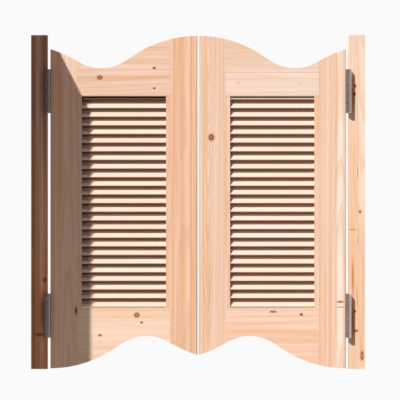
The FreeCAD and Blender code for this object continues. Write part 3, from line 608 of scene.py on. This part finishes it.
def beech(name):
    """Pale straight-grained beech with its small dark flecks."""
    finish = Finish(name, roughness=0.55)
    x, y, z = finish.place()
    grain = finish.noise(x * 0.05, y * 1.1, z * 1.1, detail=3)
    fleck = finish.noise(x * 0.35, y * 2.5, z * 2.5, detail=1)
    wood = finish.blend(grain, (0.67, 0.43, 0.27, 1), (0.56, 0.33, 0.19, 1))
    wood = finish.blend(finish.ease(fleck, 0.62, 0.72, 0, 0.5), wood, (0.40, 0.21, 0.11, 1))
    finish.feed("Base Color", wood)
    finish.relief(grain, 0.0001, 0.5)
    return finish.material


beech_dowel = beech("beech_dowel")
dress("left_dowels", beech_dowel)
dress("right_dowels", beech_dowel)


# ---- Spring hinge plates and barrels ------------------------------------------------------------
# Folded and curled mild steel with a dull zinc coat: two screw leaves, the web between them, and
# the collars and caps that close the barrels. The left pair's coat is darker than the right's,
# which is painted shade, and a lighter strip along one side of each barrel is a painted reflection.


def zinc_steel(name, tint, dullness, mottle, painted_reflection=None):
    """Mottled zinc-coated steel; painted_reflection gives where it lies along X and its colour."""
    finish = Finish(name, roughness=dullness, metallic=1.0)
    x, y, z = finish.place()
    cloud = finish.noise(x * 0.13, y * 0.13, z * 0.09, detail=3, roughness=0.6)
    grit = finish.noise(x * 1.9, y * 1.9, z * 0.5, detail=2)
    crystals = finish.node(
        "ShaderNodeTexVoronoi",
        {"feature": "F1"},
        {"Vector": finish.node("ShaderNodeCombineXYZ", {}, {0: x, 1: y, 2: z}), "Scale": 0.45},
        "Color",
    )
    facet = finish.node("ShaderNodeSeparateColor", {}, {0: crystals}, "Red")
    light = tuple(min(1.0, part * 1.22) for part in tint)
    shade = tuple(part * 0.72 for part in tint)
    patch = cloud * (1 - mottle) + facet * mottle
    coat = finish.blend(finish.ease(patch, 0.25, 0.75), (*shade, 1), (*light, 1))
    if painted_reflection:
        start, end, colour = painted_reflection
        # A painted reflection of the wood beside the barrel lightens this strip.
        coat = finish.blend(finish.ease(x, start, end, 0, 0.95), coat, colour)
    finish.feed("Base Color", coat)
    finish.feed("Roughness", dullness - 0.1 + patch * 0.12 + grit * 0.1)
    finish.relief(grit, 0.00004, 0.5)
    return finish.material


HINGE_COATS = {
    # The left coat's darker tint is painted shade; each lighter strip is a painted reflection.
    "left": dict(tint=(0.21, 0.185, 0.19), painted_reflection=(-403.5, -400.5, (0.42, 0.38, 0.36, 1))),
    "right": dict(tint=(0.38, 0.34, 0.34), painted_reflection=(405.3, 406.8, (1.0, 0.80, 0.70, 1))),
}
for side, looks in HINGE_COATS.items():
    hinge_coat = zinc_steel(f"{side}_zinc_coat", dullness=0.33, mottle=0.15, **looks)
    for height in ("lower", "upper"):
        for plate in ("jamb_leaf", "door_leaf", "web"):
            dress(f"{side}_{height}_{plate}", hinge_coat)
    for barrel in ("front", "rear"):
        dress(f"{side}_{barrel}_tension_collars", hinge_coat)
        dress(f"{side}_{barrel}_end_caps", hinge_coat)


# ---- Spindles, bushes and stop pins -------------------------------------------------------------
# Drawn bright steel, turned and cut to length. The spindle runs up the middle of each barrel in
# its two bushes, and a stop pin sits in a notch between the collar and the upper knuckle.


def bright_steel(name):
    """Bright steel with the fine rings that a lathe leaves."""
    finish = Finish(name, roughness=0.3, metallic=1.0)
    x, y, z = finish.place()
    lathe = finish.noise(x * 0.2, y * 0.2, z * 7.0, detail=2)
    finish.feed("Base Color", finish.blend(lathe, (0.56, 0.55, 0.53, 1), (0.68, 0.67, 0.65, 1)))
    finish.feed("Roughness", 0.22 + lathe * 0.16)
    finish.relief(lathe, 0.00003, 0.4)
    return finish.material


turned_steel = bright_steel("turned_steel")
for side in ("left", "right"):
    for barrel in ("front", "rear"):
        for piece in ("spindles", "bushes", "stop_pins"):
            dress(f"{side}_{barrel}_{piece}", turned_steel)


# ---- Torsion springs ----------------------------------------------------------------------------
# Close-wound spring steel, oiled and dark, round the spindle between the two bushes. The coils
# lie against each other, so the spring reads as a ribbed sleeve.

SPRING_WIRE = 2.5  # millimetres


def oiled_coils(name, wire):
    """Oiled wire in close turns; wire is its thickness in millimetres."""
    finish = Finish(name, roughness=0.35, metallic=1.0)
    x, y, z = finish.place()
    turns = z / wire
    across_wire = turns.fraction() * 2 - 1
    crown = (1 - across_wire * across_wire).root()
    stain = finish.noise(x * 0.3, y * 0.3, z * 0.3, detail=3)
    oil = finish.blend(stain, (0.16, 0.14, 0.12, 1), (0.27, 0.25, 0.23, 1))
    # Painted shade: the colour darkens towards the grooves between the turns.
    finish.feed("Base Color", finish.scale(oil, 0.35 + crown * 0.65))
    finish.feed("Roughness", 0.28 + stain * 0.2)
    finish.relief(crown, wire / 2000, 0.9)
    return finish.material


spring_coils = oiled_coils("oiled_spring_coils", SPRING_WIRE)
for side in ("left", "right"):
    for barrel in ("front", "rear"):
        dress(f"{side}_{barrel}_springs", spring_coils)


# ---- Hinge screws -------------------------------------------------------------------------------
# Zinc-plated countersunk wood screws with a cross recess, four in each leaf. Their heads lie level
# with the leaf, and the shanks run into pilot holes in the jamb strip or the hinge stile.

# Sizes and places in metres.
HEAD_RADIUS = 0.0035
HEAD_RIM = 0.0012
HEAD_DEPTH = 0.00175
RECESS_DEPTH = 0.0014
RECESS_WAIST = 0.38
SHANK_RADIUS = 0.00175
SHANK_LENGTH = 0.0172
POINT_RADIUS = 0.0003
POINT_LENGTH = 0.00305
HINGE_LEVELS = (0.1435, 0.749)
SCREW_ROWS = (-0.036, 0.036)
SCREW_COLUMNS = (-0.007, 0.007)
JAMB_LEAF_FACE = 0.4042
DOOR_LEAF_FACE = 0.3998


def cross_head_screw():
    """One screw that points down its own -X, with the head's face at the origin."""
    screw = bmesh.new()
    bmesh.ops.create_circle(screw, cap_ends=True, radius=HEAD_RADIUS, segments=24)
    screw.faces.ensure_lookup_table()
    mouth = screw.faces[0]
    bmesh.ops.inset_region(screw, faces=[mouth], thickness=HEAD_RIM, use_even_offset=True)
    for corner in mouth.verts:
        arm = abs(math.cos(2 * math.atan2(corner.co.y, corner.co.x))) ** 3
        corner.co *= RECESS_WAIST + (1 - RECESS_WAIST) * arm
    sunk = bmesh.ops.extrude_face_region(screw, geom=[mouth])["geom"]
    recess = [item for item in sunk if isinstance(item, bmesh.types.BMVert)]
    bmesh.ops.translate(screw, vec=(0, 0, -RECESS_DEPTH), verts=recess)
    bmesh.ops.scale(screw, vec=(0.5, 0.5, 1), verts=recess)
    bmesh.ops.delete(screw, geom=[mouth], context="FACES_ONLY")

    rim = [edge for edge in screw.edges if edge.is_boundary]
    before = HEAD_RADIUS
    for depth, radius in [
        (HEAD_DEPTH, SHANK_RADIUS),
        (SHANK_LENGTH, SHANK_RADIUS),
        (POINT_LENGTH, POINT_RADIUS),
    ]:
        grown = bmesh.ops.extrude_edge_only(screw, edges=rim)["geom"]
        ring = [item for item in grown if isinstance(item, bmesh.types.BMVert)]
        rim = [item for item in grown if isinstance(item, bmesh.types.BMEdge)]
        bmesh.ops.translate(screw, vec=(0, 0, -depth), verts=ring)
        bmesh.ops.scale(screw, vec=(radius / before, radius / before, 1), verts=ring)
        before = radius
    bmesh.ops.edgeloop_fill(screw, edges=rim)
    bmesh.ops.remove_doubles(screw, verts=screw.verts, dist=1e-7)
    bmesh.ops.recalc_face_normals(screw, faces=screw.faces)
    laid = Matrix.Rotation(math.pi / 2, 3, "Y")
    bmesh.ops.rotate(screw, cent=(0, 0, 0), matrix=laid, verts=screw.verts)
    return screw


def screw_set(name, head_x, points, body, node, coat):
    """Eight screws with their heads at one plane; points is -1 or 1, the way they run along X."""
    one = cross_head_screw()
    mesh = bpy.data.meshes.new(name)
    one.to_mesh(mesh)
    one.free()
    heading = Matrix.Rotation(0 if points < 0 else math.pi, 3, "Z")
    whole = bmesh.new()
    for level in [hinge + row for hinge in HINGE_LEVELS for row in SCREW_ROWS]:
        for depth in SCREW_COLUMNS:
            first = len(whole.verts)
            whole.from_mesh(mesh)
            whole.verts.ensure_lookup_table()
            added = whole.verts[first:]
            # Each screw was driven until it was tight, so its cross stops at an angle of its own.
            twist = Matrix.Rotation(level * 31 + depth * 400, 3, "X")
            bmesh.ops.rotate(whole, cent=(0, 0, 0), matrix=heading @ twist, verts=added)
            bmesh.ops.translate(whole, vec=(head_x, depth, level), verts=added)
    whole.to_mesh(mesh)
    whole.free()
    mesh.materials.append(coat)
    screws = bpy.data.objects.new(name, mesh)
    bpy.context.collection.objects.link(screws)
    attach(screws, body)
    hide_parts(node)


screw_coat = zinc_steel("zinc_plated_screw", (0.66, 0.65, 0.60), dullness=0.34, mottle=0.1)
for side, wall in (("left", -1), ("right", 1)):
    screw_set(
        f"{side}_jamb_screws",
        head_x=wall * JAMB_LEAF_FACE,
        points=wall,
        body="jambs",
        node=f"{side}_jamb_leaf_screws",
        coat=screw_coat,
    )
    screw_set(
        f"{side}_door_screws",
        head_x=wall * DOOR_LEAF_FACE,
        points=-wall,
        body=f"{side}_door",
        node=f"{side}_door_leaf_screws",
        coat=screw_coat,
    )


# ---- Floor --------------------------------------------------------------------------------------
# A plain pale studio floor, well below the doors, which hang from the walls of their opening.
# It is not part of the object.

FLOOR_RADIUS = 5.0  # metres
FLOOR_LEVEL = -0.45


def studio_sheet(name, form, finish, colour):
    """Make an object of the studio from its form, with a finish of one even colour."""
    mesh = bpy.data.meshes.new(name)
    form.to_mesh(mesh)
    form.free()
    finish.shader.inputs["Base Color"].default_value = colour
    mesh.materials.append(finish.material)
    sheet = bpy.data.objects.new(name, mesh)
    bpy.context.collection.objects.link(sheet)
    return sheet


slab = bmesh.new()
bmesh.ops.create_circle(slab, cap_ends=True, radius=FLOOR_RADIUS, segments=96)
bmesh.ops.translate(slab, vec=(0, 0, FLOOR_LEVEL), verts=slab.verts)
floor_paint = Finish("floor_paint", roughness=0.9, specular=0.2)
floor = studio_sheet("floor", slab, floor_paint, (0.80, 0.80, 0.80, 1))
floor.visible_diffuse = False
floor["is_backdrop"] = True


# ---- Light --------------------------------------------------------------------------------------
# A key light high on the left, a level light behind the doors, two lights for the floor alone and
# an even white surround. A rose cloth beside the key keeps its light off the left jamb and the
# left door's outer side.

KEY_TRAVEL = Vector((0.75, 1.0, -1.2))


def gather(name, things):
    """A group of objects that a light is linked to."""
    group = bpy.data.collections.new(name)
    for thing in things:
        group.objects.link(thing)
    return group


def lamp(name, travel, energy, spread, lit, casting=(), glints=True):
    """A far light on some objects alone; only those named as casting shade them, if any are."""
    data = bpy.data.lights.new(name, "SUN")
    data.energy = energy
    data.angle = math.radians(spread)
    light = bpy.data.objects.new(name, data)
    light.rotation_mode = "QUATERNION"
    light.rotation_quaternion = Vector(travel).to_track_quat("-Z", "Y")
    light.visible_glossy = glints
    bpy.context.collection.objects.link(light)
    light.light_linking.receiver_collection = gather(f"{name}_lit", lit)
    if casting:
        light.light_linking.blocker_collection = gather(f"{name}_casting", casting)


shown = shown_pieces()
lamp("key", KEY_TRAVEL, energy=4.6, spread=1.0, lit=shown)
lamp("floor_key", KEY_TRAVEL, energy=2.2, spread=24.0, lit=[floor], casting=shown)
lamp("floor_fill", (0, 0, -1), energy=1.25, spread=40.0, lit=[floor], casting=[floor])
lamp("rear", (0.6, -1.0, 0.0), energy=2.4, spread=4.0, lit=shown, glints=False)

# Sizes and places in metres; the shade's edge runs up the face of the left door.
DOOR_FACE = -0.014
CLOTH_TOP = 1.065
CLOTH_BOTTOM = -0.3
CLOTH_OUTER_EDGE = -0.75
CLOTH_STAND_OFF = 0.1
CLOTH_LEAN = 0.3
SHADE_EDGE = [
    (-0.287, CLOTH_BOTTOM),
    (-0.2915, 0.665),
    (-0.2958, 0.7023),
    (-0.3729, 0.8541),
    (-0.48, CLOTH_TOP),
]

# The cloth is the shade's outline taken back along the light, further at the foot.
cloth = bmesh.new()
corners = []
for x, z in [*SHADE_EDGE, (CLOTH_OUTER_EDGE, CLOTH_TOP), (CLOTH_OUTER_EDGE, CLOTH_BOTTOM)]:
    stand_off = CLOTH_STAND_OFF + CLOTH_LEAN * (CLOTH_TOP - z)
    corners.append(cloth.verts.new(Vector((x, DOOR_FACE, z)) - KEY_TRAVEL * stand_off))
cloth.faces.new(corners)
flag_cloth = Finish("flag_cloth", roughness=1.0)
flag = studio_sheet("flag", cloth, flag_cloth, (0.58, 0.42, 0.39, 1))
flag.visible_camera = False
flag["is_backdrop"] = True

world = bpy.data.worlds.new("studio")
bpy.context.scene.world = world
world.use_nodes = True
world_nodes = world.node_tree
surround = world_nodes.nodes["Background"]
backdrop = world_nodes.nodes.new("ShaderNodeBackground")
mixer = world_nodes.nodes.new("ShaderNodeMixShader")
ray = world_nodes.nodes.new("ShaderNodeLightPath")
surround.inputs["Color"].default_value = (1.0, 0.985, 0.985, 1)
surround.inputs["Strength"].default_value = 0.275
backdrop.inputs["Color"].default_value = (0.956, 0.956, 0.956, 1)
world_nodes.links.new(ray.outputs["Is Camera Ray"], mixer.inputs["Fac"])
world_nodes.links.new(surround.outputs["Background"], mixer.inputs[1])
world_nodes.links.new(backdrop.outputs["Background"], mixer.inputs[2])
world_nodes.links.new(mixer.outputs["Shader"], world_nodes.nodes["World Output"].inputs["Surface"])


# ---- Camera -------------------------------------------------------------------------------------
# A long lens far in front of the doors, square to them and level with their middle, so that both
# doors show their full width and their upright edges stay upright.

camera = bpy.data.objects.new("camera", bpy.data.cameras.new("camera"))
bpy.context.collection.objects.link(camera)
camera.location = (0.0052, -7.8, 0.4556)
camera.rotation_euler = (math.pi / 2, 0, 0)
camera.data.sensor_width = 36
camera.data.lens = 260
bpy.context.scene.camera = camera
bpy.context.scene.view_settings.view_transform = "Standard"
bpy.context.scene.view_settings.look = "None"
